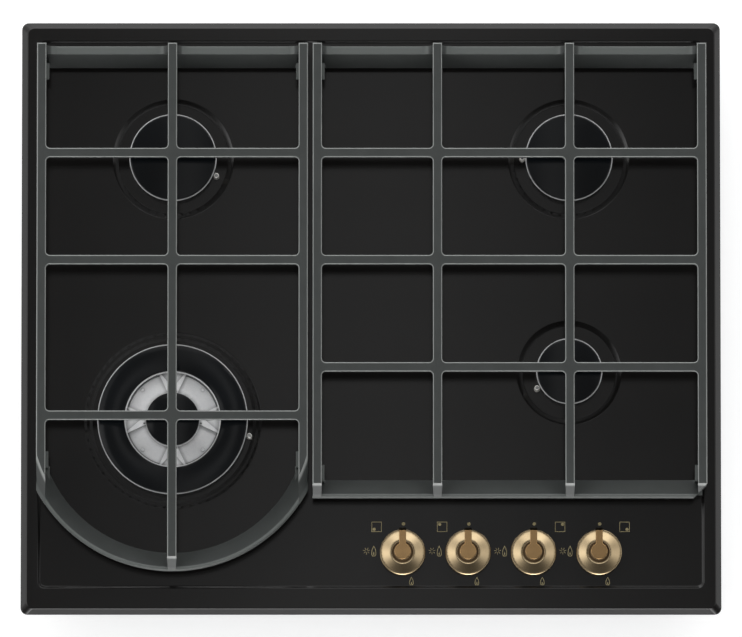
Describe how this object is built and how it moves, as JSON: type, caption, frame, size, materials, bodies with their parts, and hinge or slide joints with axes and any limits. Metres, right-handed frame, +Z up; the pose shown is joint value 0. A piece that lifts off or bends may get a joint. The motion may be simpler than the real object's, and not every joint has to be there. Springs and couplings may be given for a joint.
{
  "type": "gas cooktop",
  "caption": "Built-in gas cooktop with cast-iron pan supports over round burners, a wok burner at the front left and push-and-turn knobs at the front right.",
  "frame": {"origin": "middle of the plate's footprint, at the underside of the tray, 50 mm below the worktop's surface", "axes": "+X to the cook's right along the front, +Y to the wall, +Z up"},
  "size_m": [0.6, 0.51, 0.101],
  "materials": {
    "black_enamel": "satin black enamel",
    "cap_enamel": "glossy black enamel",
    "grid_iron": "matt grey-black enamelled casting",
    "knob_brass": "circular brushed, lacquered",
    "tap_brass": "machined",
    "crown_aluminium": "turned, satin",
    "cast_aluminium": "as cast",
    "pipe_aluminium": "drawn",
    "gas_steel": "zinc plated",
    "stem_steel": "turned",
    "galvanised_steel": "galvanised sheet",
    "zinc_fasteners": "zinc plated",
    "white_ceramic": "glazed white with a metal pin",
    "black_rubber": "matt",
    "foam_seal": "foam strip",
    "lead_silicone": "silicone insulation",
    "grey_plastic": "moulded",
    "black_plastic": "moulded"
  },
  "bodies": {
    "cooktop": {"top_plate": "black_enamel", "rim_seal": "foam_seal", "bottom_tray": "galvanised_steel", "tray_fixings": "zinc_fasteners", "worktop_clamps": "galvanised_steel", "clamp_screws": "zinc_fasteners", "gas_manifold": "gas_steel", "inlet_pipe": "gas_steel", "gas_inlet": "tap_brass", "tap_body_wok": "tap_brass", "tap_body_rear_left": "tap_brass", "tap_body_rear_right": "tap_brass", "tap_body_front_right": "tap_brass", "stem_seals": "black_rubber", "tap_screws": "zinc_fasteners", "burner_pipe_wok": "pipe_aluminium", "burner_pipe_rear_left": "pipe_aluminium", "burner_pipe_rear_right": "pipe_aluminium", "burner_pipe_front_right": "pipe_aluminium", "pipe_nuts": "zinc_fasteners", "burner_cup_wok": "cast_aluminium", "burner_cup_rear_left": "cast_aluminium", "burner_cup_rear_right": "cast_aluminium", "burner_cup_front_right": "cast_aluminium", "gas_jets": "tap_brass", "spark_electrodes": "white_ceramic", "burner_screws": "zinc_fasteners", "spark_generator": "grey_plastic", "ignition_leads": "lead_silicone", "ignition_switches": "black_plastic", "cable_gland": "black_plastic"},
    "plug_wok": {"tap_plug_wok": "tap_brass", "return_spring_wok": "stem_steel"},
    "control_wok": {"tap_stem_wok": "stem_steel", "knob_wok": "knob_brass"},
    "plug_rear_left": {"tap_plug_rear_left": "tap_brass", "return_spring_rear_left": "stem_steel"},
    "control_rear_left": {"tap_stem_rear_left": "stem_steel", "knob_rear_left": "knob_brass"},
    "plug_rear_right": {"tap_plug_rear_right": "tap_brass", "return_spring_rear_right": "stem_steel"},
    "control_rear_right": {"tap_stem_rear_right": "stem_steel", "knob_rear_right": "knob_brass"},
    "plug_front_right": {"tap_plug_front_right": "tap_brass", "return_spring_front_right": "stem_steel"},
    "control_front_right": {"tap_stem_front_right": "stem_steel", "knob_front_right": "knob_brass"},
    "grid_left": {"pan_support_left": "grid_iron", "feet_left": "black_rubber"},
    "grid_right": {"pan_support_right": "grid_iron", "feet_right": "black_rubber"},
    "crown_wok": {"flame_crown_wok": "crown_aluminium"},
    "crown_rear_left": {"flame_crown_rear_left": "crown_aluminium"},
    "crown_rear_right": {"flame_crown_rear_right": "crown_aluminium"},
    "crown_front_right": {"flame_crown_front_right": "crown_aluminium"},
    "cap_rear_left": {"burner_cap_rear_left": "cap_enamel"},
    "cap_rear_right": {"burner_cap_rear_right": "cap_enamel"},
    "cap_front_right": {"burner_cap_front_right": "cap_enamel"},
    "cap_wok_ring": {"burner_cap_wok_ring": "cap_enamel"},
    "cap_wok_centre": {"burner_cap_wok_centre": "cap_enamel"}
  },
  "joints": [
    {"name": "knob_turn_wok", "type": "hinge", "parent": "cooktop", "child": "plug_wok", "pos_m": [0.027, -0.2022, 0.031], "axis": [0, 0, 1], "range_deg": [0, 210]},
    {"name": "knob_push_wok", "type": "slide", "parent": "plug_wok", "child": "control_wok", "axis": [0, 0, -1], "range_m": [0, 0.0035], "stiffness_N_per_m": 800, "springref_m": -0.004, "deforming": ["return_spring_wok"]},
    {"name": "knob_turn_rear_left", "type": "hinge", "parent": "cooktop", "child": "plug_rear_left", "pos_m": [0.083, -0.2022, 0.031], "axis": [0, 0, 1], "range_deg": [0, 210]},
    {"name": "knob_push_rear_left", "type": "slide", "parent": "plug_rear_left", "child": "control_rear_left", "axis": [0, 0, -1], "range_m": [0, 0.0035], "stiffness_N_per_m": 800, "springref_m": -0.004, "deforming": ["return_spring_rear_left"]},
    {"name": "knob_turn_rear_right", "type": "hinge", "parent": "cooktop", "child": "plug_rear_right", "pos_m": [0.139, -0.2022, 0.031], "axis": [0, 0, 1], "range_deg": [0, 210]},
    {"name": "knob_push_rear_right", "type": "slide", "parent": "plug_rear_right", "child": "control_rear_right", "axis": [0, 0, -1], "range_m": [0, 0.0035], "stiffness_N_per_m": 800, "springref_m": -0.004, "deforming": ["return_spring_rear_right"]},
    {"name": "knob_turn_front_right", "type": "hinge", "parent": "cooktop", "child": "plug_front_right", "pos_m": [0.195, -0.2022, 0.031], "axis": [0, 0, 1], "range_deg": [0, 210]},
    {"name": "knob_push_front_right", "type": "slide", "parent": "plug_front_right", "child": "control_front_right", "axis": [0, 0, -1], "range_m": [0, 0.0035], "stiffness_N_per_m": 800, "springref_m": -0.004, "deforming": ["return_spring_front_right"]},
    {"name": "grid_lift_left", "type": "slide", "parent": "cooktop", "child": "grid_left", "axis": [0, 0, 1], "range_m": [0, 0.08]},
    {"name": "grid_lift_right", "type": "slide", "parent": "cooktop", "child": "grid_right", "axis": [0, 0, 1], "range_m": [0, 0.08]},
    {"name": "crown_lift_wok", "type": "slide", "parent": "cooktop", "child": "crown_wok", "axis": [0, 0, 1], "range_m": [0, 0.005]},
    {"name": "crown_lift_rear_left", "type": "slide", "parent": "cooktop", "child": "crown_rear_left", "axis": [0, 0, 1], "range_m": [0, 0.005]},
    {"name": "crown_lift_rear_right", "type": "slide", "parent": "cooktop", "child": "crown_rear_right", "axis": [0, 0, 1], "range_m": [0, 0.005]},
    {"name": "crown_lift_front_right", "type": "slide", "parent": "cooktop", "child": "crown_front_right", "axis": [0, 0, 1], "range_m": [0, 0.005]},
    {"name": "cap_lift_rear_left", "type": "slide", "parent": "crown_rear_left", "child": "cap_rear_left", "axis": [0, 0, 1], "range_m": [0, 0.006]},
    {"name": "cap_lift_rear_right", "type": "slide", "parent": "crown_rear_right", "child": "cap_rear_right", "axis": [0, 0, 1], "range_m": [0, 0.006]},
    {"name": "cap_lift_front_right", "type": "slide", "parent": "crown_front_right", "child": "cap_front_right", "axis": [0, 0, 1], "range_m": [0, 0.006]},
    {"name": "cap_lift_wok_ring", "type": "slide", "parent": "crown_wok", "child": "cap_wok_ring", "axis": [0, 0, 1], "range_m": [0, 0.006]},
    {"name": "cap_lift_wok_centre", "type": "slide", "parent": "crown_wok", "child": "cap_wok_centre", "axis": [0, 0, 1], "range_m": [0, 0.006]}
  ]
}
